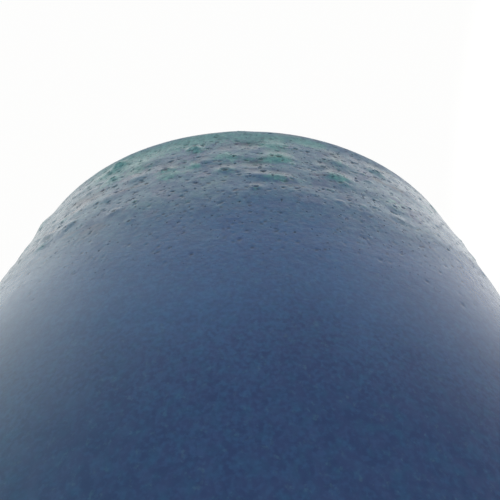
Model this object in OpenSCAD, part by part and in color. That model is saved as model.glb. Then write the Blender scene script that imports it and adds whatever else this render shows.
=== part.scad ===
// Stoneware vase with a shouldered body, a luted foot ring and collar, and three glaze coats.
// Millimetres, +Z up. The origin is on the axis, on the surface that the foot ring stands on.
// Every outline below lies in the (radius, height) plane and is turned about the Z axis.

/* [Body] */
// Largest radius of the glazed vase, at the belly
belly_r = 103.4; // [98:0.2:112]
// Height of the belly's widest ring above the table
belly_z = 96; // [92:1:100]
// Radius of the belly's curve, seen from the side
belly_arc = 110; // [106:1:122]
// Lean of the upper wall towards the axis, in degrees from the vertical
wall_lean = 12; // [9:0.5:16]
// Radius of the ring where the wall turns over into the shoulder
shoulder_r = 80; // [72:0.5:86]
// Radius of the round between the wall and the top of the shoulder
shoulder_round = 24; // [16:1:30]
// Slope of the top of the shoulder, in degrees from the horizontal
shoulder_slope = 18; // [14:1:26]
// Thickness of the thrown clay wall
wall_t = 6; // [4.5:0.5:7.5]
// Thickness of the floor
floor_t = 9; // [7:0.5:12]
// Radius of the curve between the floor and the wall, inside
floor_round = 24; // [14:1:34]

/* [Foot] */
// Height of the foot ring
foot_h = 12; // [9:1:14]
// Outer radius of the foot ring
foot_r = 61; // [56:0.5:62]
// Width of the foot ring, from its inner to its outer face
foot_w = 11; // [9:0.5:16]
// Rounding of the foot ring's lower edges
foot_edge = 1.5; // [1:0.25:2.5]
// Depth of the groove in the base that the foot ring is luted into
seat_depth = 2; // [1.5:0.25:3]
// Shoulder on each side of the foot ring's tongue
seat_side = 2.5; // [2:0.25:3.5]

/* [Neck] */
// Radius of the neck's waist, over the glaze
neck_r = 24; // [21:0.5:30]
// Radius of the neck's hollow curve, seen from the side
neck_curve = 12; // [10:0.5:15]
// How far the neck's curve runs on past the waist to the lip, in degrees
lip_flare = 42; // [25:1:50]
// Width of the ledge that the collar rests on
ledge_w = 5; // [4:0.5:6]
// Depth of the ledge below the clay's outer surface
ledge_depth = 2.2; // [1.8:0.1:2.6]

/* [Glaze] */
// Thickness of the outer glaze coat and of the liner glaze
glaze_t = 0.8; // [0.5:0.1:1.2]
// Extra thickness of the volcanic glaze band over the outer coat
crater_t = 0.9; // [0.6:0.1:1.4]
// How far the volcanic band runs down the wall below the shoulder ring
crater_drop = 40; // [25:1:60]
// Length over which the volcanic band thins out at its lower edge
crater_taper = 10; // [5:1:15]
// Height of bare clay between the foot's seat and the outer glaze
bare_h = 6; // [4:0.5:10]

/* [Hidden] */

$fn = 180;
steps = 16;                              // straight steps in each curved stretch

// Depths below the free face of the outer glaze
clay_in = glaze_t + wall_t;              // inner face of the clay
liner_in = clay_in + glaze_t;            // free face of the liner glaze

// Centres and directions of the curves that make up the outline
top_a = 90 - shoulder_slope;
belly_c = [belly_r - belly_arc, belly_z];
wall_foot = belly_c + belly_arc * [cos(wall_lean), sin(wall_lean)];
ring_z = wall_foot[1] + (wall_foot[0] - shoulder_r) / tan(wall_lean);
shoulder_c = [shoulder_r, ring_z] - shoulder_round * [cos(wall_lean), sin(wall_lean)];
shoulder_end = shoulder_c + shoulder_round * [cos(top_a), sin(top_a)];
neck_cr = neck_r + neck_curve;
neck_cz = shoulder_end[1] + (neck_curve - (neck_cr - shoulder_end[0]) * cos(top_a)) / sin(top_a);
neck_c = [neck_cr, neck_cz];
lip_c = at(neck_c, -(neck_curve + glaze_t + wall_t / 2), -lip_flare);
lip_a = 90 - lip_flare;                  // direction of the lip's crest

// Seats: the collar drops onto a ledge in the body, the foot ring's tongue into a groove
floor_z = foot_h + floor_t;
seam = at(neck_c, -(neck_curve + glaze_t), top_a);
ledge_r = seam[0] - ledge_w;
ledge_z = seam[1] - ledge_depth;
ledge_a = acos((neck_cr - ledge_r) / (neck_curve + clay_in));
tongue_in = foot_r - foot_w + seat_side;
tongue_out = foot_r - seat_side;
tongue_z = foot_h + seat_depth;

// Point in the direction a on a circle of radius r about c
function at(c, r, a) = c + r * [cos(a), sin(a)];

// Points along a circle from the direction a0 to a1
function arc(c, r, a0, a1) = [for (i = [0:steps]) at(c, r, a0 + (a1 - a0) * i / steps)];

// A list of points the other way round, and two lists that share the point where they meet
function back(p) = [for (i = [len(p) - 1:-1:0]) p[i]];
function join(p, q) = concat(p, [for (i = [1:len(q) - 1]) q[i]]);

// Direction, from the belly's centre, of the point at height z on the face at depth d
function belly_a(d, z) = asin((z - belly_c[1]) / (belly_arc - d));

// The face at depth d, from the direction a0 at the belly up to the top of the shoulder
function side(d, a0) = concat(
    arc(belly_c, belly_arc - d, a0, wall_lean),
    arc(shoulder_c, shoulder_round - d, wall_lean, top_a)
);

// The face at depth d round the neck's hollow curve, between two directions that it faces
function neck(d, a0, a1) = arc(neck_c, -(neck_curve + d), a0, a1);

// The round lip with a coat t thick over the clay, between two directions that it faces
function lip(t, a0, a1) = arc(lip_c, wall_t / 2 + t, a0, a1);

// The inside face at depth d over a floor at height z: floor, curved corner, side
function corner_a(d, z) = asin((z + floor_round - belly_z) / (belly_arc - d - floor_round));
function corner_c(d, z) = at(belly_c, belly_arc - d - floor_round, corner_a(d, z));
function inside(d, z) = concat(
    [[0, z]],
    join(arc(corner_c(d, z), floor_round, -90, corner_a(d, z)), side(d, corner_a(d, z)))
);

// Point on the wall's face at depth d, a distance s down the wall from the shoulder ring
function below_ring(d, s) =
    at(shoulder_c, shoulder_round - d, wall_lean) + s * [sin(wall_lean), -cos(wall_lean)];

// Thrown clay: floor, belly and shoulder, with a stepped opening for the collar
// and a groove under the floor for the foot ring
module clay_body() {
    color("tan")
    rotate_extrude()
    polygon(concat(
        side(glaze_t, belly_a(glaze_t, foot_h)),
        [
            seam,
            [seam[0], ledge_z],
            [ledge_r, ledge_z]
        ],
        neck(clay_in, ledge_a, top_a),
        back(inside(clay_in, floor_z)),
        [
            [0, foot_h],
            [tongue_in, foot_h],
            [tongue_in, tongue_z],
            [tongue_out, tongue_z],
            [tongue_out, foot_h]
        ]
    ));
}

// Thrown collar: a stepped base that sits in the body's opening, a waisted neck and a round lip
module neck_collar() {
    color("burlywood")
    rotate_extrude()
    polygon(concat(
        [
            [ledge_r, ledge_z],
            [seam[0], ledge_z]
        ],
        join(
            join(neck(glaze_t, top_a, -lip_flare), lip(0, -lip_flare, lip_a + 90)),
            neck(clay_in, -lip_flare, ledge_a)
        )
    ));
}

// Foot ring of bare clay, with a tongue that is luted into the groove in the base
module foot_ring() {
    foot_in = foot_r - foot_w;
    color("peru")
    rotate_extrude()
    polygon(concat(
        arc([foot_in + foot_edge, foot_edge], foot_edge, 180, 270),
        arc([foot_r - foot_edge, foot_edge], foot_edge, -90, 0),
        [
            [foot_r, foot_h],
            [tongue_out, foot_h],
            [tongue_out, tongue_z],
            [tongue_in, tongue_z],
            [tongue_in, foot_h],
            [foot_in, foot_h]
        ]
    ));
}

// Matt cobalt glaze over the outside, from just above the foot to the crest of the lip
module base_glaze() {
    line_a = belly_a(glaze_t, foot_h + bare_h);
    color("steelblue")
    rotate_extrude()
    polygon(concat(
        side(0, line_a),
        join(neck(0, top_a, -lip_flare), lip(glaze_t, -lip_flare, lip_a)),
        join(lip(0, lip_a, -lip_flare), neck(glaze_t, -lip_flare, top_a)),
        back(side(glaze_t, line_a))
    ));
}

// Volcanic glaze: a thicker coat over the base glaze, round the top of the wall and the shoulder
module crater_glaze() {
    color("cadetblue")
    rotate_extrude()
    polygon(concat(
        [
            below_ring(0, crater_drop),
            below_ring(-crater_t / 3, crater_drop),
            below_ring(-crater_t, crater_drop - crater_taper)
        ],
        arc(shoulder_c, shoulder_round + crater_t, wall_lean, top_a),
        [
            at(neck_c, crater_t - neck_curve, top_a),
            at(neck_c, -neck_curve, top_a)
        ],
        arc(shoulder_c, shoulder_round, top_a, wall_lean)
    ));
}

// Liner glaze over the floor, the inside of the wall and the neck, up to the crest of the lip
module liner_glaze() {
    color("lightsteelblue")
    rotate_extrude()
    polygon(concat(
        inside(clay_in, floor_z),
        join(neck(clay_in, top_a, -lip_flare), lip(0, lip_a + 90, lip_a)),
        join(lip(glaze_t, lip_a, lip_a + 90), neck(liner_in, -lip_flare, top_a)),
        back(inside(liner_in, floor_z + glaze_t))
    ));
}

clay_body();
neck_collar();
foot_ring();
base_glaze();
crater_glaze();
liner_glaze();
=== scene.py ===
"""A shouldered stoneware vase with a matt cobalt glaze and a cratered volcanic band.

The CAD model gives the outline. Here the outer glaze is one dense turned skin whose ridges,
blisters and burst bubbles are real relief. The clay, the foot ring and the liner are turned
too, with the marks of throwing and trimming. Everything is in metres, +Z up, on the vase's axis.
"""
import math

import bpy
import numpy as np
from mathutils import Matrix


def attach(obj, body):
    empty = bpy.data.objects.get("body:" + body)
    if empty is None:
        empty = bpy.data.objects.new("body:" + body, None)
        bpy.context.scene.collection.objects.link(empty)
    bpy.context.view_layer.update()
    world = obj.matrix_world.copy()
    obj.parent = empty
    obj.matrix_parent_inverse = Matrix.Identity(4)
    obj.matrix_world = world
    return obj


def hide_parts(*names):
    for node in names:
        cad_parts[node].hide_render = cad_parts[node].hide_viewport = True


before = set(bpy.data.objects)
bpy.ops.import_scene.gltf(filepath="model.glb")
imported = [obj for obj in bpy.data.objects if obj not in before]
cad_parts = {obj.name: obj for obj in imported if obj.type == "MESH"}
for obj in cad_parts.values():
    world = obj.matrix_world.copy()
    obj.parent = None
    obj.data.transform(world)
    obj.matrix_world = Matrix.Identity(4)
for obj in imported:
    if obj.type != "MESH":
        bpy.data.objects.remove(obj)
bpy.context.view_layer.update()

MM = 0.001
TURN = 2 * math.pi
BODY = "root"

# ---------------------------------------------------------------- outline, as in the CAD model
BELLY_R = 103.4 * MM
BELLY_Z = 96 * MM
BELLY_ARC = 110 * MM
WALL_LEAN = math.radians(12)
SHOULDER_R = 80 * MM
SHOULDER_ROUND = 24 * MM
SHOULDER_TOP = math.radians(90 - 18)
WALL_T = 6 * MM
FLOOR_T = 9 * MM
FLOOR_ROUND = 24 * MM
FOOT_H = 12 * MM
FOOT_R = 61 * MM
FOOT_W = 11 * MM
FOOT_EDGE = 1.5 * MM
SEAT_DEPTH = 2 * MM
SEAT_SIDE = 2.5 * MM
NECK_R = 24 * MM
NECK_CURVE = 12 * MM
LIP_FLARE = math.radians(42)
LEDGE_W = 5 * MM
LEDGE_DEPTH = 2.2 * MM
GLAZE_T = 0.8 * MM
CRATER_T = 0.9 * MM
BARE_H = 6 * MM
CLAY_IN = GLAZE_T + WALL_T
LINER_IN = CLAY_IN + GLAZE_T
FLOOR_Z = FOOT_H + FLOOR_T
FOOT_IN = FOOT_R - FOOT_W
TONGUE_IN = FOOT_IN + SEAT_SIDE
TONGUE_OUT = FOOT_R - SEAT_SIDE
TONGUE_Z = FOOT_H + SEAT_DEPTH
NEAR_AXIS = 0.5 * MM  # radius at which a turned floor's last ring lies, before its cap


def polar(centre, radius, angles):
    """Points at those directions on a circle in the (radius, height) plane."""
    across = centre[0] + radius * np.cos(angles)
    return np.stack([across, centre[1] + radius * np.sin(angles)], axis=-1)


BELLY_C = np.array([BELLY_R - BELLY_ARC, BELLY_Z])
WALL_FOOT = polar(BELLY_C, BELLY_ARC, WALL_LEAN)
RING_Z = WALL_FOOT[1] + (WALL_FOOT[0] - SHOULDER_R) / math.tan(WALL_LEAN)
RING = np.array([SHOULDER_R, RING_Z])
SHOULDER_C = RING - SHOULDER_ROUND * np.array([math.cos(WALL_LEAN), math.sin(WALL_LEAN)])
SHOULDER_END = polar(SHOULDER_C, SHOULDER_ROUND, SHOULDER_TOP)
NECK_CR = NECK_R + NECK_CURVE
SLOPE_FALL = (NECK_CR - SHOULDER_END[0]) * math.cos(SHOULDER_TOP)
NECK_RISE = (NECK_CURVE - SLOPE_FALL) / math.sin(SHOULDER_TOP)
NECK_C = np.array([NECK_CR, SHOULDER_END[1] + NECK_RISE])
LIP_C = polar(NECK_C, -(NECK_CURVE + GLAZE_T + WALL_T / 2), -LIP_FLARE)
LIP_CREST = math.pi / 2 - LIP_FLARE
DOWN_WALL = np.array([math.sin(WALL_LEAN), -math.cos(WALL_LEAN)])


def smooth(x, low, high):
    """0 below low, 1 above high, and a smooth rise between them."""
    t = np.clip((x - low) / (high - low), 0, 1)
    return t * t * (3 - 2 * t)


# An outline is walked up its outer face, over the top and down its inner face. Each stretch
# gives its points and the directions that the surface faces there, and leaves out its last point.
def arc_rows(centre, radius, a0, a1, step, inner=False):
    """An arc that faces the directions a0 to a1, or the opposite ones where it is an inner face.

    A hollow curve has a negative radius, which puts its points on the other side of its centre.
    """
    count = max(2, int(abs(radius * (a1 - a0)) / step))
    angles = a0 + (a1 - a0) * np.arange(count) / count
    return polar(centre, radius, angles), angles + (math.pi if inner else 0)


def line_rows(p, q, step):
    """A straight stretch from p to q, facing to the right of the way from p to q."""
    p, q = np.array(p), np.array(q)
    count = max(1, int(np.linalg.norm(q - p) / step))
    t = (np.arange(count) / count)[:, None]
    return p + (q - p) * t, np.full(count, math.atan2(q[1] - p[1], q[0] - p[0]) - math.pi / 2)


def join_rows(stretches):
    """All the stretches' points, and the directions that they face as unit vectors."""
    points = np.concatenate([s[0] for s in stretches])
    angles = np.concatenate([s[1] for s in stretches])
    return points, np.stack([np.cos(angles), np.sin(angles)], axis=-1)


def belly_angle(depth, z):
    """Direction, from the belly's centre, of the point at height z on the face at that depth."""
    return math.asin((z - BELLY_Z) / (BELLY_ARC - depth))


def floor_corner(depth, floor_z):
    """Centre of the curve between a floor and the wall's face at that depth, and where it ends."""
    reach = BELLY_ARC - depth - FLOOR_ROUND
    angle = math.asin((floor_z + FLOOR_ROUND - BELLY_Z) / reach)
    return polar(BELLY_C, reach, angle), angle


def along(points):
    """Distance along an outline, from its first point."""
    return np.concatenate([[0], np.cumsum(np.linalg.norm(np.diff(points, axis=0), axis=1))])


# ---------------------------------------------------------------- noise
class Noise:
    """Smooth value noise in three dimensions, the same on every run."""

    def __init__(self, seed):
        source = np.random.RandomState(seed)
        self.order = source.permutation(256)
        self.order = np.concatenate([self.order, self.order])
        self.value = source.uniform(-1, 1, 256)

    def _corner(self, i, j, k):
        return self.value[self.order[self.order[self.order[i & 255] + (j & 255)] + (k & 255)] & 255]

    def __call__(self, p):
        base = np.floor(p).astype(np.int64)
        f = p - base
        f = f * f * f * (f * (f * 6 - 15) + 10)
        i, j, k = base[..., 0], base[..., 1], base[..., 2]
        total = 0.0
        for di in (0, 1):
            for dj in (0, 1):
                for dk in (0, 1):
                    weight = (
                        (f[..., 0] if di else 1 - f[..., 0])
                        * (f[..., 1] if dj else 1 - f[..., 1])
                        * (f[..., 2] if dk else 1 - f[..., 2])
                    )
                    total = total + weight * self._corner(i + di, j + dj, k + dk)
        return total


def octaves(seed, p, count):
    """Noise summed over several octaves, from about -1 to 1."""
    noise = Noise(seed)
    total, weight = 0.0, 0.0
    for n in range(count):
        total = total + noise(p * 2.0**n + 17.3 * n) * 0.5**n
        weight += 0.5**n
    return total / weight


# ---------------------------------------------------------------- the outer glaze's grid
COLUMNS = 1152
FRONT = -math.pi / 2  # the side that the camera sees
FRONT_DENSITY = 0.6
# How far below the shoulder ring the rows start to lie closer together, in three steps
BAND_SPARSE = 74 * MM
BAND_MIDDLE = 58 * MM
BAND_FINE = 30 * MM
GLAZE_LOW = belly_angle(GLAZE_T, FOOT_H + BARE_H)
GLAZE_EDGE = 1.4 * MM  # width of the round at the glaze's lower edge
CREST_LAP = 0.02  # angle by which the outer coat laps over the lip's crest
BAND_SINK = 0.25 * MM  # how far the band's mean face lies inside the CAD model's
BELLY_SINK = 0.25 * MM  # the same at the belly, so that no crest passes the CAD model's box
THINNEST = 0.2 * MM  # least glaze left under a hole
BURNT_EDGE_H = 2.5 * MM  # how far up from the lower edge the thin glaze burns through
BURNT_CREST_H = 2.2 * MM  # the same along the lip's crest


def column_angles(count):
    """Directions round the axis, closer together towards the front."""
    u = np.arange(count) / count - 0.5
    return FRONT + TURN * u - FRONT_DENSITY * np.sin(TURN * u)


def glaze_rows():
    """The outer face of the glaze: its points, the directions it faces, and each row's columns.

    Each stretch gives the distance between its rows, and its rows hold every column or every second one.
    """
    sparse_from = RING + DOWN_WALL * BAND_SPARSE
    middle_from = RING + DOWN_WALL * BAND_MIDDLE
    fine_from = RING + DOWN_WALL * BAND_FINE
    edge_top = GLAZE_LOW + 1.5 * GLAZE_EDGE / BELLY_ARC
    slope_end = polar(NECK_C, -NECK_CURVE, SHOULDER_TOP)
    half_round = math.radians(48)
    stretches = [
        (arc_rows(BELLY_C, BELLY_ARC, GLAZE_LOW, edge_top, 0.25 * MM), 2),
        (arc_rows(BELLY_C, BELLY_ARC, edge_top, WALL_LEAN, 2.2 * MM), 2),
        (line_rows(WALL_FOOT, sparse_from, 1.5 * MM), 2),
        (line_rows(sparse_from, middle_from, 0.9 * MM), 1),
        (line_rows(middle_from, fine_from, 0.5 * MM), 1),
        (line_rows(fine_from, RING, 0.32 * MM), 1),
        (arc_rows(SHOULDER_C, SHOULDER_ROUND, WALL_LEAN, half_round, 0.42 * MM), 1),
        (arc_rows(SHOULDER_C, SHOULDER_ROUND, half_round, SHOULDER_TOP, 0.7 * MM), 1),
        (line_rows(SHOULDER_END, slope_end, 0.8 * MM), 1),
        (arc_rows(NECK_C, -NECK_CURVE, SHOULDER_TOP, -LIP_FLARE, 0.7 * MM), 2),
        (arc_rows(LIP_C, WALL_T / 2 + GLAZE_T, -LIP_FLARE, LIP_CREST + CREST_LAP, 0.5 * MM), 2),
    ]
    points, facing = join_rows([s for s, _ in stretches])
    skip = np.concatenate([np.full(len(s[0]), c) for s, c in stretches])
    return points, facing, skip


def glaze_back():
    """The glaze's face against the clay, from the lip's crest down to just above the lower edge."""
    above_edge = GLAZE_LOW + 3 * GLAZE_EDGE / BELLY_ARC
    return join_rows([
        arc_rows(LIP_C, WALL_T / 2, LIP_CREST, -LIP_FLARE, 1.5 * MM, inner=True),
        arc_rows(NECK_C, -(NECK_CURVE + GLAZE_T), -LIP_FLARE, SHOULDER_TOP, 2 * MM, inner=True),
        arc_rows(SHOULDER_C, SHOULDER_ROUND - GLAZE_T, SHOULDER_TOP, WALL_LEAN, 2 * MM, inner=True),
        arc_rows(BELLY_C, BELLY_ARC - GLAZE_T, WALL_LEAN, above_edge, 5 * MM, inner=True),
    ])


class Relief:
    """Height and colour fields over the glaze, on the grid of its rows and columns."""

    # Two fields are painted light: shade in holes and dimples, and a highlight on slopes that face up
    FIELDS = ("pit_shade", "teal", "rust", "pale", "thin")

    def __init__(self, points):
        self.s = along(points)
        self.s -= self.s[np.argmin(np.linalg.norm(points - RING, axis=1))]
        self.angle = column_angles(COLUMNS)
        self.radius = points[:, 0]
        shape = (len(points), COLUMNS)
        self.height = np.zeros(shape)
        for name in self.FIELDS:
            setattr(self, name, np.zeros(shape))
        # The glaze unrolled onto a cylinder of the shoulder's radius, so that patterns keep their scale
        self.sheet = np.empty(shape + (3,))
        self.sheet[..., 0] = SHOULDER_R * np.cos(self.angle)
        self.sheet[..., 1] = SHOULDER_R * np.sin(self.angle)
        self.sheet[..., 2] = self.s[:, None]

    def pattern(self, seed, across, up, count):
        """Noise over the glaze whose patches are about that wide and that tall, in metres."""
        return octaves(seed, self.sheet / np.array([across, across, up]), count)

    def oval(self, angle, s, wide, tall, tilt=0.0, reach=3.0):
        """The cells near a point of the glaze, and their places in units of an oval's half-axes."""
        far = reach * max(wide, tall)
        rows = np.nonzero(np.abs(self.s - s) < far)[0]
        radius = self.radius[rows[len(rows) // 2]]
        turn = (self.angle - angle + math.pi) % TURN - math.pi
        columns = np.nonzero(np.abs(turn) * radius < far)[0]
        across = (turn[columns] * radius)[None, :]
        up = (self.s[rows] - s)[:, None]
        u = (across * math.cos(tilt) + up * math.sin(tilt)) / wide
        v = (up * math.cos(tilt) - across * math.sin(tilt)) / tall
        return np.ix_(rows, columns), u, v

    def raise_to(self, name, cells, values):
        """Raises a colour field to the values, and never lowers it."""
        field = getattr(self, name)
        field[cells] = np.maximum(field[cells], values)

    def hole(self, angle, s, size, tilt=0.0, deep=0.9, dark=1.0):
        """A burst bubble, or a healed dimple, with a low raised rim and painted shade in its hollow."""
        cells, u, v = self.oval(angle, s, size * 1.6, size * 0.9, tilt)
        q = np.hypot(u, v)
        rim = 0.24 * np.exp(-(((q - 1.3) / 0.3) ** 2))
        self.height[cells] += size * deep * (rim - np.exp(-(q**3)))
        # Painted shade: the hollow's middle is darkened, as strongly as dark says
        self.raise_to("pit_shade", cells, dark * np.exp(-((q / 0.9) ** 4)))

    def hollow(self, angle, s, wide, tall, deep):
        """A dent where the glaze is thin, rust-coloured at the bottom."""
        cells, u, v = self.oval(angle, s, wide, tall)
        bowl = np.exp(-(u**2) - v**2)
        self.height[cells] -= deep * bowl
        self.raise_to("rust", cells, bowl)

    def mound(self, angle, s, wide, tall, rise, teal=0.0, rust=0.0, tilt=0.0):
        """A swelling of thick glaze, steep below, turquoise underneath, with a hollow above it."""
        cells, u, v = self.oval(angle, s, wide, tall, tilt)
        under = np.where(v < 0, 1.3 * v, v)
        dip = np.exp(-(u**2) - ((v - 1.7) / 0.7) ** 2)
        self.height[cells] += rise * (np.exp(-(u**2) - under**2) - 0.22 * dip)
        self.raise_to("teal", cells, teal * np.exp(-((u / 1.05) ** 2) - ((v + 0.3) / 0.95) ** 2))
        self.raise_to("rust", cells, rust * dip)


BAND_BEGINS = (-46 * MM, -26 * MM)  # stretch up the outline over which the volcanic glaze grows thick
BAND_ENDS = (48 * MM, 62 * MM)  # stretch over which it fades out towards the neck


def band(s):
    """1 where the volcanic glaze lies thick, 0 on the plain wall and on the neck."""
    return smooth(s, *BAND_BEGINS) * (1 - smooth(s, *BAND_ENDS))


# Mounds that stand out on the front: degrees to the right of the front, place up the outline from the
# shoulder ring, half width, half height and rise in millimetres, strength of the turquoise, and size
# of the hole at the crest in millimetres
NOTABLE = [
    (-28.5, -4.4, 3.2, 2.2, 0.66, 0.9, 0.4),
    (-26.6, -1.6, 2.3, 2.1, 3.40, 1.0, 0.0),
    (-26, -10, 2.6, 2.0, 0.30, 0.9, 0.5),
    (-20, -15.6, 3.6, 2.2, 0.40, 0.1, 0.0),
    (-14.3, -15.1, 3.0, 2.2, 0.38, 0.5, 0.68),
    (-13.5, -18, 3.0, 2.4, 0.24, 0.7, 0.0),
    (-10, -4.6, 1.6, 1.4, 1.25, 1.0, 0.5),
    (-7.5, -13, 1.8, 1.3, 0.24, 0.1, 0.0),
    (-4, -10, 3.0, 2.4, 0.30, 0.9, 0.0),
    (-3.5, -18.8, 2.8, 1.8, 0.38, 0.5, 0.64),
    (1.5, -28, 1.5, 1.2, 0.26, 0.3, 0.35),
    (5.0, -22.9, 4.0, 1.9, 0.62, 0.85, 0.0),
    (5, -3, 3.4, 2.2, 0.36, 0.9, 0.0),
    (5.8, -11.8, 3.4, 2.6, 0.66, 0.9, 0.55),
    (13.8, -13.6, 2.4, 1.8, 0.36, 0.1, 0.46),
    (16.0, -17.8, 4.0, 2.4, 0.78, 0.85, 0.0),
    (17.5, -8.5, 3.8, 2.6, 0.38, 0.5, 0.0),
    (26.4, -6.2, 3.4, 2.4, 0.66, 0.5, 0.6),
    (-48.5, -8, 3.6, 4.2, 0.80, 0.8, 0.0),
    (1.5, -22, 3.6, 1.8, 0.30, 0.0, 0.0),
    (48.5, -17, 3.4, 3.4, 0.38, 0.5, 0.45),
]

# Hollows on the front: degrees to the right, place, half width, half height and depth in millimetres
HOLLOWS = [
    (0.5, -3.3, 4.0, 2.1, 0.90),
    (1.5, -14.8, 3.2, 1.7, 0.46),
    (-20.8, -9.4, 4.0, 1.8, 0.50),
    (-33, -15, 4.0, 2.0, 0.24),
    (-30, -17, 5.0, 1.6, 0.20),
]

# Rolls of thick glaze that run round the band: place up the outline, rise and half height in millimetres
ROLLS = [
    (-32, 0.10, 3.0),
    (-21, 0.20, 3.0),
    (-11, 0.14, 3.2),
    (14, 0.16, 3.4),
    (26, 0.26, 3.6),
    (38, 0.26, 3.8),
]
ROLL_WAVE = 20 * MM  # distance round the vase over which a roll wanders and swells
ROLL_DRIFT = 3.2 * MM

# Unevenness of the glaze: seed, width and height of its patches in millimetres, and its height in
# millimetres on the plain wall and in the band
WAVES = [
    (21, 30, 14, 0.06, 0.16),
    (22, 9, 6, 0.0, 0.24),
    (23, 2.2, 1.8, 0.014, 0.03),
]
# Over the shoulder's round the thick glaze settled: where that begins and ends, and the share of
# the relief that is lost there
SETTLE_BEGINS = (-9 * MM, 0)
SETTLE_ENDS = (14 * MM, 26 * MM)
SETTLED = 0.72


def add_rolls(relief):
    """Wavy rolls of thick glaze that run round the shoulder, one above another."""
    for n, (place, rise, tall) in enumerate(ROLLS):
        ring = relief.sheet[0] / ROLL_WAVE
        ring[:, 2] = 5.1 * n
        drift = ROLL_DRIFT * octaves(11, ring, 3)
        size = smooth(octaves(12, ring * 0.8 + 3.3, 3), -0.3, 0.35)
        up = relief.s[:, None] - place * MM - drift[None, :]
        spread = tall * MM * np.where(up > 0, 1.3, 0.75)
        relief.height += rise * MM * size[None, :] * np.exp(-((up / spread) ** 2))


def add_waves(relief):
    """Slow unevenness of the thrown wall, and the lumpier surface of the thick glaze."""
    thick = band(relief.s)[:, None]
    for seed, across, up, plain, banded in WAVES:
        rise = (plain + (banded - plain) * thick) * MM
        relief.height += rise * relief.pattern(seed, across * MM, up * MM, 2)


def settle(relief):
    """Flattens the relief over the shoulder's round."""
    over = smooth(relief.s, *SETTLE_BEGINS) * (1 - smooth(relief.s, *SETTLE_ENDS))
    relief.height *= (1 - SETTLED * over)[:, None]


def front(degrees):
    """The direction that many degrees to the right of the front, as the camera sees it."""
    return FRONT + math.radians(degrees)


# How many places are tried for each kind of mark. What is likely there decides how many are kept.
MOUND_TRIES = 620
BLISTER_TRIES = 1300
HOLE_TRIES = 850
DIMPLE_TRIES = 8200


def scatter(source, count, low, high, likely):
    """Random places on the glaze with five more draws each, kept as often as likely says."""
    for _ in range(count):
        angle = source.uniform(-math.pi, math.pi)
        s = source.uniform(low, high)
        draws = source.uniform(0, 1, 6)
        if draws[5] < likely(angle, s):
            yield angle, s, draws[:5]


def clustered(seed):
    """A chance that comes and goes over patches of the band about 16 mm across."""

    def likely(angle, s):
        around = SHOULDER_R * np.array([math.cos(angle), math.sin(angle)])
        spot = np.array([*around, 1.6 * s]) / (16 * MM)
        return 0.3 + 1.1 * float(octaves(seed, spot, 2))

    return likely


def thinning(low, high):
    """A chance that is full in the band and falls away below it, down to low, and towards the neck."""

    def likely(angle, s):
        return float(smooth(s, low, high)) * float(1 - smooth(s, 30 * MM, 52 * MM))

    return likely


def add_mounds(relief):
    """The mounds that stand out on the front, and others scattered in loose clusters all round."""
    for degrees, place, wide, tall, rise, teal, hole in NOTABLE:
        angle, s = front(degrees), place * MM
        tilt = -math.radians(degrees) / 6
        relief.mound(angle, s, wide * MM, tall * MM, rise * MM, teal, 0.6, tilt)
        if hole:
            relief.hole(angle, s, hole * MM, deep=1.2)
    for degrees, place, wide, tall, deep in HOLLOWS:
        relief.hollow(front(degrees), place * MM, wide * MM, tall * MM, deep * MM)
    source = np.random.RandomState(7)
    for angle, s, draws in scatter(source, MOUND_TRIES, -34 * MM, 46 * MM, clustered(31)):
        wide = (1.2 + 2.6 * draws[0] ** 2) * MM
        tall = wide * (0.6 + 0.35 * draws[1])
        rise = tall * (0.1 + 0.12 * draws[3])
        teal = max(0.0, 1.5 * draws[2] - 0.6)
        tilt = (draws[1] - 0.5) * 0.5
        relief.mound(angle, s, wide, tall, rise, teal, draws[4], tilt)


def add_blisters(relief):
    """Small bubbles, closed or burst open at the top."""
    source = np.random.RandomState(8)
    for angle, s, draws in scatter(source, BLISTER_TRIES, -42 * MM, 46 * MM, clustered(32)):
        size = (0.5 + 0.6 * draws[0] ** 2) * MM
        relief.mound(angle, s, size * (1.2 + 0.5 * draws[1]), size, size * 0.24, 0.7 * draws[2])
        if draws[3] < 0.3:
            relief.hole(angle, s, size * 0.36)


def add_holes(relief):
    """Burst bubbles, and smaller healed dimples that reach further down the wall."""
    source = np.random.RandomState(9)
    likely = thinning(-50 * MM, -22 * MM)
    for angle, s, draws in scatter(source, HOLE_TRIES, -48 * MM, 52 * MM, likely):
        taper = 0.45 + 0.55 * float(smooth(s, -46 * MM, -16 * MM))
        size = (0.24 + 0.3 * draws[0] ** 3) * taper * MM
        relief.hole(angle, s, size, (draws[1] - 0.5) * 0.4, dark=0.55 + 0.45 * draws[2])
    likely = thinning(-68 * MM, -30 * MM)
    for angle, s, draws in scatter(source, DIMPLE_TRIES, -58 * MM, 52 * MM, likely):
        spread = 0.06 + 0.2 * float(smooth(s, -44 * MM, -18 * MM))
        size = (0.26 + spread * draws[0] ** 2) * MM
        deep = 0.18 + 0.24 * draws[2]
        relief.hole(angle, s, size, (draws[1] - 0.5) * 0.4, deep, dark=0.22 + 0.46 * draws[3])


# Areas of the front that are mostly turquoise: degrees to the right, place up the outline from the
# shoulder ring, half width and half height in millimetres, and strength
TURQUOISE = [
    (-30, -1, 9, 7, 0.75),
    (-20, 0, 11, 6, 0.75),
    (-10, 2, 9, 6, 0.75),
    (1, 2, 14, 6, 0.75),
    (-24, -5, 10, 4, 0.5),
    (13, 2, 8, 4, 0.6),
    (-12, -17, 5, 5, 0.45),
    (-2, -14, 6, 4, 0.35),
    (6, -9, 5, 6, 0.6),
]


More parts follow.
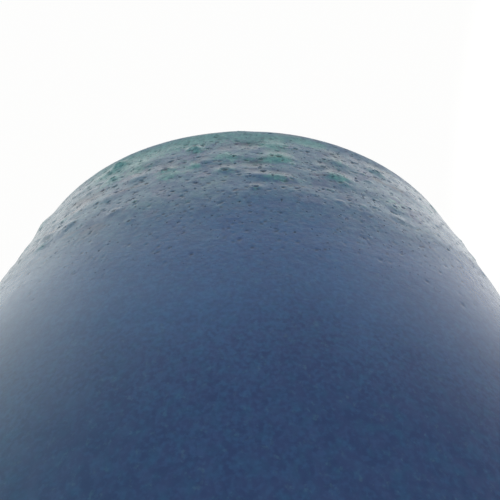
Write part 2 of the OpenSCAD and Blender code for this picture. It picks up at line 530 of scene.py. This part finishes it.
def add_colours(relief):
    """Turquoise patches, rust where the glaze is thin, and a painted highlight on slopes that face up,
    as if lit from above.
    """
    thick = band(relief.s)[:, None]
    high = smooth(relief.s, -34 * MM, -18 * MM)[:, None]
    patches = relief.pattern(41, 9 * MM, 6 * MM, 3)
    relief.teal = np.maximum(relief.teal, 0.6 * high * smooth(patches, 0.25, 0.6)) * thick
    for degrees, place, wide, tall, strength in TURQUOISE:
        cells, u, v = relief.oval(front(degrees), place * MM, wide * MM, tall * MM, reach=2.0)
        area = strength * np.exp(-(u**2) - v**2)
        relief.teal[cells] = np.minimum(1, relief.teal[cells] + area)
    streaks = relief.pattern(42, 12 * MM, 3 * MM, 3)
    relief.rust = np.maximum(0.8 * relief.rust, 0.7 * smooth(streaks, 0.45, 0.65)) * thick
    # Painted highlight: slopes that face up are lightened, as if lit from above
    slope = np.gradient(relief.height, axis=0) / np.gradient(relief.s)[:, None]
    relief.pale = smooth(-slope, 0.04, 0.3) * thick


def thin_edges(relief):
    """Marks where the coat runs out, and gives how much of its thickness is missing there."""
    from_edge = relief.s - relief.s[0]
    from_crest = relief.s[-1] - relief.s
    at_edge = 1 - smooth(from_edge, 0, BURNT_EDGE_H)
    at_crest = 1 - smooth(from_crest, 0, BURNT_CREST_H)
    relief.thin[:] = np.maximum(at_edge, at_crest)[:, None]
    t = np.clip(from_edge / GLAZE_EDGE, 0, 1)
    return GLAZE_T * (1 - np.sqrt(1 - (1 - t) ** 2))


def build_relief(points):
    """All the relief and colour fields. What settles over the shoulder comes before the holes."""
    relief = Relief(points)
    add_waves(relief)
    add_rolls(relief)
    add_mounds(relief)
    add_blisters(relief)
    settle(relief)
    add_holes(relief)
    add_colours(relief)
    return relief


# ---------------------------------------------------------------- turning rows into meshes
SHARP_FROM = math.radians(50)  # edges that bend more than this are shaded sharp
FEWEST = 32  # points in a turned ring close to the axis
FULL_FROM = 24 * MM  # radius from which a turned ring has all its points


def ring_faces(start_a, count_a, start_b, count_b):
    """Faces between two rings of vertices, where one may hold half as many as the other."""
    if count_a == count_b:
        i = np.arange(count_a)
        j = (i + 1) % count_a
        return np.stack([start_a + i, start_a + j, start_b + j, start_b + i], axis=1).tolist()
    flip = count_a < count_b
    fine, coarse = (start_b, start_a) if flip else (start_a, start_b)
    half = min(count_a, count_b)
    faces = []
    for i in range(half):
        j = (i + 1) % half
        a, b, c = fine + 2 * i, fine + 2 * i + 1, fine + 2 * j
        p, q = coarse + i, coarse + j
        group = [(a, b, p), (b, q, p), (b, c, q)]
        faces += [g[::-1] for g in group] if flip else group
    return faces


def mesh_from_rings(name, rings, fields=None, loop=False):
    """A closed mesh from rings of points, capped at both ends or joined from the last to the first."""
    starts = np.concatenate([[0], np.cumsum([len(r) for r in rings])]).astype(int).tolist()
    pairs = list(zip(range(len(rings) - 1), range(1, len(rings))))
    if loop:
        pairs.append((len(rings) - 1, 0))
    faces = []
    for a, b in pairs:
        faces += ring_faces(starts[a], len(rings[a]), starts[b], len(rings[b]))
    if not loop:
        faces.append(list(range(starts[1]))[::-1])
        faces.append(list(range(starts[-2], starts[-1])))
    mesh = bpy.data.meshes.new(name)
    mesh.from_pydata(np.concatenate(rings), [], faces)
    mesh.shade_smooth()
    mesh.set_sharp_from_angle(angle=SHARP_FROM)
    for key, values in (fields or {}).items():
        layer = mesh.attributes.new(key, "FLOAT", "POINT")
        layer.data.foreach_set("value", np.concatenate(values).astype(np.float32))
    piece = bpy.data.objects.new(name, mesh)
    bpy.context.scene.collection.objects.link(piece)
    return piece


def ring_at(radius, height, angles):
    """Points round the axis. Radius and height are one value each, or one for every direction."""
    return np.stack([radius * np.cos(angles), radius * np.sin(angles), height + 0 * angles], axis=1)


CALM = 4 * MM  # the coat lies plain over this distance from each of its edges
BELLY_TAPER = (-120 * MM, -90 * MM)  # stretch over which the belly's own sink fades out
EDGE_WANDER = 1.8 * MM  # how far the lower edge strays up and down
EDGE_WAVE = 14 * MM
EDGE_REACH = 16 * MM  # how far up the wall the edge's straying is felt


def glaze_face(points, facing, relief):
    """Radius and height of the coat's outer face, with its relief, along every row and column."""
    missing = thin_edges(relief)
    s = relief.s
    calm = smooth(s - s[0], 0, CALM) * (1 - smooth(s, s[-1] - CALM, s[-1]))
    belly = 1 - smooth(s, *BELLY_TAPER)
    coat = (CRATER_T - BAND_SINK) * band(s) - BELLY_SINK * belly
    lift = relief.height * calm[:, None] + (coat * calm)[:, None]
    lift = np.maximum(lift, THINNEST - GLAZE_T) - missing[:, None]
    wander = EDGE_WANDER * octaves(51, relief.sheet[0] / EDGE_WAVE, 3)
    slide = (1 - smooth(s - s[0], 0, EDGE_REACH))[:, None] * wander[None, :]
    radius = points[:, :1] + facing[:, :1] * lift - facing[:, 1:] * slide
    height = points[:, 1:] + facing[:, 1:] * lift + facing[:, :1] * slide
    return radius, height


def outer_glaze():
    """The whole outer coat: the relief outside, and a plain face against the clay inside."""
    points, facing, skips = glaze_rows()
    relief = build_relief(points)
    outer_r, outer_z = glaze_face(points, facing, relief)
    rings = []
    fields = {name: [] for name in Relief.FIELDS}
    for row, skip in enumerate(skips):
        pick = slice(None, None, int(skip))
        rings.append(ring_at(outer_r[row, pick], outer_z[row, pick], relief.angle[pick]))
        for name in fields:
            fields[name].append(getattr(relief, name)[row, pick])
    angles = relief.angle[::4]
    for radius, height in glaze_back()[0]:
        rings.append(ring_at(radius, height, angles))
        for name in fields:
            fields[name].append(np.zeros(len(angles)))
    return mesh_from_rings("outer_glaze", rings, fields, loop=True)


def turned(name, stretches, columns, relief=None, loop=False):
    """A closed piece turned about the axis.

    relief(radius, height, facing, angles) says how far its face is moved out along a ring.
    """
    points, facing = join_rows(stretches)
    count, rings = columns, []
    for (radius, height), way in zip(points, facing):
        # Rings near the axis hold fewer points, halved or doubled one step at a time
        wanted = columns
        while wanted > FEWEST and radius < wanted / columns * FULL_FROM:
            wanted //= 2
        count = min(max(wanted, count // 2), count * 2) if rings else wanted
        angles = TURN * np.arange(count) / count
        out = relief(radius, height, way, angles) if relief else 0
        rings.append(ring_at(radius + way[0] * out, height + way[1] * out, angles))
    return mesh_from_rings(name, rings, loop=loop)


TRIM_PITCH = 3.4 * MM  # distance between the turns of the trimming tool's spiral
FOOT_PITCH = 2.6 * MM  # distance between the turning marks on the foot ring
FINGER_PITCH = 5.5 * MM  # distance between the potter's finger grooves


def clay_marks(radius, height, way, angles):
    """A trimming tool's spiral over the base, which the foot ring surrounds."""
    under = 1.0 if way[1] < -0.9 and height < FOOT_H + 0.1 * MM else 0.0
    inside = smooth(radius, 3 * MM, 6 * MM) * (1 - smooth(radius, 45 * MM, 48 * MM))
    spiral = np.cos(TURN * radius / TRIM_PITCH - angles)
    drag = octaves(61, ring_at(radius, 0, angles) / (3 * MM), 2)
    return under * inside * (0.14 * spiral + 0.05 * drag) * MM


def thrown_clay():
    """The body: a trimmed base with a groove for the foot ring, the wall, and a stepped opening."""
    seam = polar(NECK_C, -(NECK_CURVE + GLAZE_T), SHOULDER_TOP)
    ledge = seam - np.array([LEDGE_W, LEDGE_DEPTH])
    ledge_a = math.acos((NECK_CR - ledge[0]) / (NECK_CURVE + CLAY_IN))
    base_a = belly_angle(GLAZE_T, FOOT_H)
    base = polar(BELLY_C, BELLY_ARC - GLAZE_T, base_a)
    covered_a = GLAZE_LOW + 0.1  # from here up the glaze hides the clay
    corner, corner_a = floor_corner(CLAY_IN, FLOOR_Z)
    return turned("thrown_clay", [
        line_rows((NEAR_AXIS, FOOT_H), (TONGUE_IN, FOOT_H), 0.6 * MM),
        line_rows((TONGUE_IN, FOOT_H), (TONGUE_IN, TONGUE_Z), 1 * MM),
        line_rows((TONGUE_IN, TONGUE_Z), (TONGUE_OUT, TONGUE_Z), 3 * MM),
        line_rows((TONGUE_OUT, TONGUE_Z), (TONGUE_OUT, FOOT_H), 1 * MM),
        line_rows((TONGUE_OUT, FOOT_H), base, 2 * MM),
        arc_rows(BELLY_C, BELLY_ARC - GLAZE_T, base_a, covered_a, 1 * MM),
        arc_rows(BELLY_C, BELLY_ARC - GLAZE_T, covered_a, WALL_LEAN, 4 * MM),
        arc_rows(SHOULDER_C, SHOULDER_ROUND - GLAZE_T, WALL_LEAN, SHOULDER_TOP, 2 * MM),
        line_rows(polar(SHOULDER_C, SHOULDER_ROUND - GLAZE_T, SHOULDER_TOP), seam, 3 * MM),
        line_rows(seam, (seam[0], ledge[1]), 1 * MM),
        line_rows((seam[0], ledge[1]), ledge, 2 * MM),
        arc_rows(NECK_C, -(NECK_CURVE + CLAY_IN), ledge_a, SHOULDER_TOP, 2 * MM, inner=True),
        arc_rows(SHOULDER_C, SHOULDER_ROUND - CLAY_IN, SHOULDER_TOP, WALL_LEAN, 2 * MM, inner=True),
        arc_rows(BELLY_C, BELLY_ARC - CLAY_IN, WALL_LEAN, corner_a, 4 * MM, inner=True),
        arc_rows(corner, FLOOR_ROUND, corner_a, -math.pi / 2, 2 * MM, inner=True),
        line_rows((corner[0], FLOOR_Z), (NEAR_AXIS, FLOOR_Z), 2 * MM),
    ], columns=384, relief=clay_marks)


def foot_marks(radius, height, way, angles):
    """Faint chatter and dents on the foot ring's sides. The face that it stands on stays flat."""
    dents = octaves(62, ring_at(radius, height, angles) / np.array([6, 6, 2]) / MM, 3)
    groove = math.cos(TURN * height / FOOT_PITCH)
    seat = smooth(height, FOOT_H - 1.2 * MM, FOOT_H)
    return (0.09 * dents + 0.05 * groove - 0.12) * MM * abs(way[0]) * (1 - seat)


def turned_foot():
    """The foot ring, with rounded lower edges and a tongue in the body's groove."""
    inner_edge = np.array([FOOT_IN + FOOT_EDGE, FOOT_EDGE])
    outer_edge = np.array([FOOT_R - FOOT_EDGE, FOOT_EDGE])
    down = -math.pi / 2
    return turned("turned_foot", [
        arc_rows(inner_edge, FOOT_EDGE, -math.pi, down, 0.25 * MM),
        line_rows((inner_edge[0], 0), (outer_edge[0], 0), 0.8 * MM),
        arc_rows(outer_edge, FOOT_EDGE, down, 0, 0.25 * MM),
        line_rows((FOOT_R, FOOT_EDGE), (FOOT_R, FOOT_H), 0.5 * MM),
        line_rows((FOOT_R, FOOT_H), (TONGUE_OUT, FOOT_H), 1 * MM),
        line_rows((TONGUE_OUT, FOOT_H), (TONGUE_OUT, TONGUE_Z), 1 * MM),
        line_rows((TONGUE_OUT, TONGUE_Z), (TONGUE_IN, TONGUE_Z), 3 * MM),
        line_rows((TONGUE_IN, TONGUE_Z), (TONGUE_IN, FOOT_H), 1 * MM),
        line_rows((TONGUE_IN, FOOT_H), (FOOT_IN, FOOT_H), 1 * MM),
        line_rows((FOOT_IN, FOOT_H), (FOOT_IN, FOOT_EDGE), 0.5 * MM),
    ], columns=512, relief=foot_marks, loop=True)


def liner_marks(radius, height, way, angles):
    """The potter's finger grooves, which climb the inside in a slow spiral and soften at the lip."""
    inner = 1.0 if way[0] < -0.05 or way[1] > 0.5 else 0.0
    below_lip = 1 - smooth(height, LIP_C[1] - 6 * MM, LIP_C[1])
    return inner * below_lip * 0.16 * MM * np.cos(TURN * height / FINGER_PITCH - angles)


def liner_coat():
    """The glossy coat inside, from the lip's crest down the neck and the wall and over the floor."""
    face_z = FLOOR_Z + GLAZE_T
    back_c, back_a = floor_corner(CLAY_IN, FLOOR_Z)
    face_c, face_a = floor_corner(LINER_IN, face_z)
    down = -math.pi / 2
    past_crest = LIP_CREST + math.pi / 2
    return turned("liner_coat", [
        line_rows((NEAR_AXIS, FLOOR_Z), (back_c[0], FLOOR_Z), 3 * MM),
        arc_rows(back_c, FLOOR_ROUND, down, back_a, 3 * MM),
        arc_rows(BELLY_C, BELLY_ARC - CLAY_IN, back_a, WALL_LEAN, 5 * MM),
        arc_rows(SHOULDER_C, SHOULDER_ROUND - CLAY_IN, WALL_LEAN, SHOULDER_TOP, 2 * MM),
        arc_rows(NECK_C, -(NECK_CURVE + CLAY_IN), SHOULDER_TOP, -LIP_FLARE, 1.5 * MM),
        arc_rows(LIP_C, WALL_T / 2, past_crest, LIP_CREST, 0.8 * MM, inner=True),
        arc_rows(LIP_C, WALL_T / 2 + GLAZE_T, LIP_CREST, past_crest, 0.5 * MM),
        arc_rows(NECK_C, -(NECK_CURVE + LINER_IN), -LIP_FLARE, SHOULDER_TOP, 1 * MM, inner=True),
        arc_rows(SHOULDER_C, SHOULDER_ROUND - LINER_IN, SHOULDER_TOP, WALL_LEAN, 1.5 * MM, inner=True),
        arc_rows(BELLY_C, BELLY_ARC - LINER_IN, WALL_LEAN, face_a, 1.4 * MM, inner=True),
        arc_rows(face_c, FLOOR_ROUND, face_a, down, 1.5 * MM, inner=True),
        line_rows((face_c[0], face_z), (NEAR_AXIS, face_z), 1.5 * MM),
    ], columns=256, relief=liner_marks)


# ---------------------------------------------------------------- materials
class Tree:
    """A small helper over the node tree of a material or a world, which has one shader."""

    def __init__(self, owner, output, shader, coords):
        self.owner = owner
        owner.use_nodes = True
        self.nodes = owner.node_tree.nodes
        self.links = owner.node_tree.links
        self.nodes.clear()
        self.shader = self.nodes.new(shader)
        self.put(self.nodes.new(output).inputs["Surface"], self.shader.outputs[0])
        self.coords = self.nodes.new("ShaderNodeTexCoord").outputs[coords]

    def put(self, socket, value):
        """A link from another node's output, or a fixed value or colour on the socket itself."""
        if hasattr(value, "is_output"):
            self.links.new(value, socket)
        else:
            socket.default_value = (*value, 1) if isinstance(value, tuple) else value

    def finish(self, **inputs):
        """Puts the values on the shader, and gives the material or world."""
        for name, value in inputs.items():
            self.put(self.shader.inputs[name.replace("_", " ")], value)
        return self.owner

    def noise(self, size, detail=2.0, rough=0.5, flat=1.0):
        """Noise about that size, whose patches are flat times as wide as they are tall."""
        node = self.nodes.new("ShaderNodeTexNoise")
        node.inputs["Scale"].default_value = 1 / size
        node.inputs["Detail"].default_value = detail
        node.inputs["Roughness"].default_value = rough
        squash = self.nodes.new("ShaderNodeMapping")
        squash.inputs["Scale"].default_value = (1, 1, flat)
        self.put(squash.inputs["Vector"], self.coords)
        self.put(node.inputs["Vector"], squash.outputs[0])
        return node.outputs["Fac"]

    def specks(self, apart, size, density=1.0):
        """1 in round specks about that far apart, whose radius is the size times the density."""
        node = self.nodes.new("ShaderNodeTexVoronoi")
        node.inputs["Scale"].default_value = 1 / apart
        self.put(node.inputs["Vector"], self.coords)
        edge = self.math("MULTIPLY", density, size / apart)
        return self.span(node.outputs["Distance"], self.math("MULTIPLY", edge, 0.55), edge, 1.0, 0.0)

    def attribute(self, name):
        """One of the mesh's own fields."""
        node = self.nodes.new("ShaderNodeAttribute")
        node.attribute_name = name
        return node.outputs["Fac"]

    def place(self, axis):
        """One part of the point's place or, in a world, of the direction."""
        node = self.nodes.new("ShaderNodeSeparateXYZ")
        self.put(node.inputs[0], self.coords)
        return node.outputs[axis]

    def height(self):
        return self.place("Z")

    def span(self, value, low, high, out_low=0.0, out_high=1.0):
        """A smooth change from out_low to out_high while the value goes from low to high."""
        node = self.nodes.new("ShaderNodeMapRange")
        node.interpolation_type = "SMOOTHSTEP"
        names = ("Value", "From Min", "From Max", "To Min", "To Max")
        for name, v in zip(names, (value, low, high, out_low, out_high)):
            self.put(node.inputs[name], v)
        return node.outputs["Result"]

    def math(self, kind, a, b=0.0, c=0.0):
        node = self.nodes.new("ShaderNodeMath")
        node.operation = kind
        for socket, value in zip(node.inputs, (a, b, c)):
            self.put(socket, value)
        return node.outputs[0]

    def mix(self, factor, a, b):
        """Colour a where the factor is 0, and b where it is 1."""
        node = self.nodes.new("ShaderNodeMix")
        node.data_type = "RGBA"
        self.put(node.inputs["Factor"], factor)
        self.put(node.inputs[6], a)
        self.put(node.inputs[7], b)
        return node.outputs[2]

    def bump(self, height, distance, strength=1.0, normal=None):
        """A surface bent by that height, on top of the normal that is given."""
        node = self.nodes.new("ShaderNodeBump")
        node.inputs["Strength"].default_value = strength
        node.inputs["Distance"].default_value = distance
        self.put(node.inputs["Height"], height)
        if normal is not None:
            self.put(node.inputs["Normal"], normal)
        return node.outputs[0]


def material_tree(name):
    """An empty material with a principled shader. Its textures are measured on the object."""
    material = bpy.data.materials.new(name)
    return Tree(material, "ShaderNodeOutputMaterial", "ShaderNodeBsdfPrincipled", "Object")


NAVY = (0.025, 0.062, 0.18)
COBALT = (0.047, 0.141, 0.325)
SEA_BLUE = (0.03, 0.13, 0.265)
BAND_DARK = (0.081, 0.187, 0.303)
BAND_LIGHT = (0.14, 0.264, 0.363)
GREY_GREEN = (0.135, 0.27, 0.31)
# Painted light on the −X side, lighter and greener than the glaze
PAINTED_SIDE_LIGHT = (0.125, 0.31, 0.3)
LILAC = (0.17, 0.19, 0.32)
# Painted highlight on slopes of the relief that face up
HIGHLIGHT_COLOUR = (0.29, 0.34, 0.365)
VIOLET = (0.035, 0.072, 0.21)
RUST = (0.14, 0.115, 0.12)
TEAL_DARK = (0.08, 0.255, 0.28)
TEAL_LIGHT = (0.18, 0.44, 0.43)
# Painted shade inside the shader's pinholes
PINHOLE_SHADE = (0.02, 0.065, 0.13)
# Painted shade inside the relief's holes and dimples
HOLE_SHADE = (0.004, 0.016, 0.022)
BURNT_EDGE = (0.16, 0.085, 0.045)
CLAY_DARK = (0.27, 0.17, 0.1)
CLAY_LIGHT = (0.45, 0.33, 0.22)
CLAY_FLUSH = (0.34, 0.2, 0.11)
CLAY_TOASTED = (0.2, 0.085, 0.04)
IRON = (0.035, 0.02, 0.014)
LINER_DARK = (0.035, 0.085, 0.1)
LINER_LIGHT = (0.07, 0.14, 0.15)
LINER_SPECK = (0.02, 0.03, 0.035)

# Heights over which the wall's navy turns to cobalt, the cobalt to the band's grey-green, and the
# pinholes and ripples grow from none to many
TO_COBALT = (RING_Z - 96 * MM, RING_Z - 42 * MM)
TO_BAND = (RING_Z - 52 * MM, RING_Z - 18 * MM)
TO_PITTED = (RING_Z - 78 * MM, RING_Z - 26 * MM)
SIDE_LIGHT_FROM = -80 * MM  # painted side light: the glaze is painted lighter and greener towards −X, most from here on
SIDE_LIGHT_SHARE = 0.36
# Over the shoulder ring the glaze turns rougher and its gloss changes. Each pair is for the front
# and for the sides, where FRONT_TO_SIDE is the distance from the vase's middle plane
OVER_RING = (RING_Z - 4 * MM, RING_Z + 3 * MM)
OVER_CREST = (RING_Z - 3 * MM, RING_Z + 4 * MM)
FRONT_TO_SIDE = (30 * MM, 60 * MM)
ROUGHER = (0.36, 0.12)
GLOSS_WALL = 0.5
GLOSS = (0.3, 0.55)
GLOSS_SUNK = 0.03
GLAZE_IOR = 1.7


def wall_colour(t, level):
    """The plain wall: navy low down and cobalt higher up, mottled."""
    lighter = t.span(level, *TO_COBALT, 0.02, 0.9)
    drift = t.span(t.noise(24 * MM, 2.0, 0.5), 0.35, 0.65, -0.07, 0.07)
    mottle = t.span(t.noise(0.75 * MM, 2.0, 0.5), 0.25, 0.75, -0.3, 0.3)
    tone = t.math("ADD", t.math("ADD", lighter, drift), mottle)
    cobalt = t.mix(tone, NAVY, COBALT)
    return t.mix(t.span(t.noise(1.8 * MM, 2.0, 0.55), 0.4, 0.75, 0.0, 0.4), cobalt, SEA_BLUE)


def band_colour(t):
    """The band's ground: grey-blue that drifts to lilac and to grey-green."""
    upper = t.mix(t.span(t.noise(2.2 * MM, 3.0, 0.6), 0.35, 0.65), BAND_DARK, BAND_LIGHT)
    hue = t.noise(7 * MM, 4.0, 0.65)
    upper = t.mix(t.span(hue, 0.52, 0.66, 0.0, 0.5), upper, LILAC)
    return t.mix(t.span(hue, 0.34, 0.48, 0.45, 0.0), upper, GREY_GREEN)


def glaze_colour(t):
    """Cobalt below and the band above, with painted side light, a painted highlight on slopes that face
    up, rust and turquoise over them.
    """
    wander = t.math("MULTIPLY", t.math("SUBTRACT", t.noise(16 * MM, 3.0, 0.6), 0.5), 34 * MM)
    level = t.math("ADD", t.height(), wander)
    colour = t.mix(t.span(level, *TO_BAND), wall_colour(t, level), band_colour(t))
    colour = t.mix(t.span(t.noise(2.0 * MM, 2.0, 0.55), 0.4, 0.62, 0.0, 0.34), colour, VIOLET)
    # Painted light: lighter, greener glaze towards −X, where the studio's light falls more strongly
    painted_side_light = t.span(t.place("X"), SIDE_LIGHT_FROM, 0.0, SIDE_LIGHT_SHARE, 0.0)
    colour = t.mix(painted_side_light, colour, PAINTED_SIDE_LIGHT)
    # Painted highlight: a paler colour on slopes of the relief that face up
    colour = t.mix(t.math("MULTIPLY", t.attribute("pale"), 0.45), colour, HIGHLIGHT_COLOUR)
    colour = t.mix(t.math("MULTIPLY", t.attribute("rust"), 0.6), colour, RUST)
    frayed = t.span(t.noise(1.2 * MM, 4.0, 0.7), 0.3, 0.7, -0.35, 0.35)
    ragged = t.math("ADD", t.attribute("teal"), frayed)
    teal = t.mix(t.span(t.noise(1.0 * MM, 2.0, 0.6), 0.35, 0.65), TEAL_DARK, TEAL_LIGHT)
    return t.mix(t.span(ragged, 0.15, 1.0, 0.0, 0.78), colour, teal)


def glaze_material():
    """The outer glaze: satin, pitted towards the top, with painted shade and little gloss inside its
    pits and holes.
    """
    t = material_tree("outer_glaze")
    density = t.span(t.height(), *TO_PITTED, 0.02, 1.0)
    fine, coarse = t.specks(1.3 * MM, 0.18 * MM, density), t.specks(1.9 * MM, 0.34 * MM, density)
    pinholes = t.math("MAXIMUM", fine, coarse)
    # Painted shade: the pinholes are darkened as if shadowed
    colour = t.mix(t.math("MULTIPLY", pinholes, 0.6), glaze_colour(t), PINHOLE_SHADE)
    # Painted shade inside the relief's holes and dimples
    colour = t.mix(t.attribute("pit_shade"), colour, HOLE_SHADE)
    colour = t.mix(t.math("MULTIPLY", t.attribute("thin"), 0.8), colour, BURNT_EDGE)
    beside = t.math("ABSOLUTE", t.place("X"))
    rougher = t.span(t.height(), *OVER_RING, 0.0, t.span(beside, *FRONT_TO_SIDE, *ROUGHER))
    uneven = t.span(t.noise(2 * MM, 3.0, 0.6), 0.3, 0.7, 0.15, 0.25)
    gloss = t.span(t.height(), *OVER_CREST, GLOSS_WALL, t.span(beside, *FRONT_TO_SIDE, *GLOSS))
    sunk = t.math("MAXIMUM", t.attribute("pit_shade"), t.math("MULTIPLY", pinholes, 0.8))
    grain = t.bump(t.noise(0.6 * MM, 3.0, 0.6), 0.02 * MM, 0.5)
    rippled = t.math("MULTIPLY", t.noise(1.5 * MM, 3.0, 0.65, flat=1.4), density)
    ripples = t.bump(rippled, 0.12 * MM, 1.0, grain)
    return t.finish(
        Base_Color=colour,
        IOR=GLAZE_IOR,
        Specular_IOR_Level=t.span(sunk, 0.35, 0.85, gloss, GLOSS_SUNK),
        Roughness=t.math("ADD", rougher, uneven),
        Normal=t.bump(pinholes, -0.14 * MM, 1.0, ripples),
    )


def clay_material():
    """Toasted stoneware with iron specks, darker next to the glaze's edge."""
    t = material_tree("bare_clay")
    grain = t.noise(2.5 * MM, 4.0, 0.65)
    colour = t.mix(t.span(grain, 0.3, 0.7), CLAY_DARK, CLAY_LIGHT)
    colour = t.mix(t.span(t.noise(14 * MM, 2.0), 0.4, 0.7, 0.0, 0.5), colour, CLAY_FLUSH)
    toasted = t.span(t.height(), FOOT_H, FOOT_H + BARE_H, 0.0, 0.75)
    colour = t.mix(toasted, colour, CLAY_TOASTED)
    iron = t.math("MAXIMUM", t.specks(2.2 * MM, 0.2 * MM), t.specks(6 * MM, 0.5 * MM))
    colour = t.mix(t.math("MULTIPLY", iron, 0.85), colour, IRON)
    grit = t.bump(t.noise(0.5 * MM, 3.0, 0.7), 0.08 * MM, 0.7)
    return t.finish(Base_Color=colour, Roughness=t.span(grain, 0.3, 0.7, 0.72, 0.92), Normal=grit)


def liner_material():
    """Dark glossy glaze that breaks to brown over the crest of the lip."""
    t = material_tree("liner_glaze")
    cloud = t.noise(6 * MM, 3.0, 0.6)
    colour = t.mix(t.span(cloud, 0.35, 0.65), LINER_DARK, LINER_LIGHT)
    breaking = t.span(t.height(), LIP_C[1] + 1.5 * MM, LIP_C[1] + WALL_T / 2 + GLAZE_T, 0.0, 0.8)
    colour = t.mix(breaking, colour, BURNT_EDGE)
    colour = t.mix(t.specks(3 * MM, 0.25 * MM), colour, LINER_SPECK)
    ripple = t.bump(t.noise(3 * MM, 2.0, 0.5), 0.06 * MM, 0.4)
    return t.finish(Base_Color=colour, Roughness=t.span(cloud, 0.3, 0.7, 0.12, 0.22), Normal=ripple)


def give(piece, material):
    """Puts the material in the object's own slot, so that a CAD node's mesh isn't changed."""
    if not piece.material_slots:
        piece.data.materials.append(None)
    for place in piece.material_slots:
        place.link = "OBJECT"
        place.material = material


def stand_for(piece, material, slot, *nodes):
    """Gives a new piece its material, its body, and the CAD nodes that it stands for."""
    give(piece, material)
    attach(piece, BODY)
    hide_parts(*nodes)


# ---------------------------------------------------------------- camera, light and floor
CAMERA_OUT = 163.2 * MM
CAMERA_BELOW = 115.8 * MM  # how far below the shoulder ring the camera is
CAMERA_PITCH = math.radians(41.96)
CAMERA_YAW = math.radians(0.6)
CAMERA_ROLL = math.radians(-0.45)
CAMERA_NEAR = 5 * MM
SENSOR = 36.0
LENS = 36.0


def add_camera():
    """The photo's view, from the front and below, up at the shoulder."""
    data = bpy.data.cameras.new("camera")
    data.sensor_width = SENSOR
    data.lens = LENS
    data.clip_start = CAMERA_NEAR
    camera = bpy.data.objects.new("camera", data)
    camera.location = (0, -CAMERA_OUT, RING_Z - CAMERA_BELOW)
    aim = Matrix.Rotation(-CAMERA_YAW, 3, "Z") @ Matrix.Rotation(math.pi / 2 + CAMERA_PITCH, 3, "X")
    camera.rotation_euler = (aim @ Matrix.Rotation(CAMERA_ROLL, 3, "Z")).to_euler()
    bpy.context.scene.collection.objects.link(camera)
    bpy.context.scene.camera = camera


# The studio's brightness rises with this mix of a direction's parts, from dim at SKY_LOW to bright
# at SKY_HIGH
SKY_MIX = {"X": -0.1, "Y": 0.8, "Z": 0.8}
SKY_LOW, SKY_HIGH = 0.0, 0.95
SKY_DIM, SKY_BRIGHT = 0.18, 0.985
# On both sides of the camera's view the sky is brighter still, by up to SIDE_GAIN high up
SIDE_FROM, SIDE_TO = 0.45, 0.58
SIDE_LOW, SIDE_HIGH = 0.5, 0.72
SIDE_GAIN = 0.22
SIDE_SHIFT = 0.09  # makes the studio's right side a little the brighter
# A glow near and below the horizon, stronger at the sides, which fades out between two upward parts
# of a direction
GLOW_FRONT, GLOW_SIDE = 0.95, 1.3
GLOW_FROM, GLOW_TO = 0.2, 0.9
GLOW_LOW, GLOW_HIGH = 0.22, 0.5
STUDIO_WHITE = (1, 1, 0.995)


def add_world():
    """A soft white studio, brightest behind and above the vase and dim on the camera's side."""
    world = bpy.data.worlds.new("studio")
    bpy.context.scene.world = world
    t = Tree(world, "ShaderNodeOutputWorld", "ShaderNodeBackground", "Generated")
    toward = 0.0
    for axis, weight in SKY_MIX.items():
        toward = t.math("MULTIPLY_ADD", t.place(axis), weight, toward)
    sideways = t.math("ABSOLUTE", t.math("ADD", t.place("X"), SIDE_SHIFT))
    side = t.span(sideways, SIDE_FROM, SIDE_TO)
    side_gain = t.span(t.height(), SIDE_LOW, SIDE_HIGH, 0.0, SIDE_GAIN)
    brightest = t.math("MULTIPLY_ADD", side, side_gain, SKY_BRIGHT)
    sky = t.span(toward, SKY_LOW, SKY_HIGH, SKY_DIM, brightest)
    round_glow = t.span(sideways, GLOW_FROM, GLOW_TO, GLOW_FRONT, GLOW_SIDE)
    glow = t.span(t.height(), GLOW_LOW, GLOW_HIGH, round_glow, SKY_DIM)
    t.finish(Color=STUDIO_WHITE, Strength=t.math("MAXIMUM", sky, glow))


FLOOR_HALF = 2.5  # half the floor's width, in metres
FLOOR_PALE = (0.8, 0.8, 0.79)


def add_floor():
    """A plain pale floor at the foot's height, which is part of the studio only."""
    mesh = bpy.data.meshes.new("floor")
    corners = [(-1, -1), (1, -1), (1, 1), (-1, 1)]
    mesh.from_pydata([(x * FLOOR_HALF, y * FLOOR_HALF, 0) for x, y in corners], [], [(0, 1, 2, 3)])
    floor = bpy.data.objects.new("floor", mesh)
    bpy.context.scene.collection.objects.link(floor)
    mesh.materials.append(material_tree("floor").finish(Base_Color=FLOOR_PALE, Roughness=0.9))


def main():
    """The studio, and every piece with its material and its body."""
    add_camera()
    add_world()
    add_floor()
    bpy.context.scene.view_settings.view_transform = "Standard"
    clay = clay_material()
    stand_for(outer_glaze(), glaze_material(), "volcanic_glaze", "base_glaze", "crater_glaze")
    stand_for(thrown_clay(), clay, "stoneware", "clay_body")
    stand_for(turned_foot(), clay, "stoneware", "foot_ring")
    stand_for(liner_coat(), liner_material(), "liner_glaze", "liner_glaze")
    give(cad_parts["neck_collar"], clay)


main()
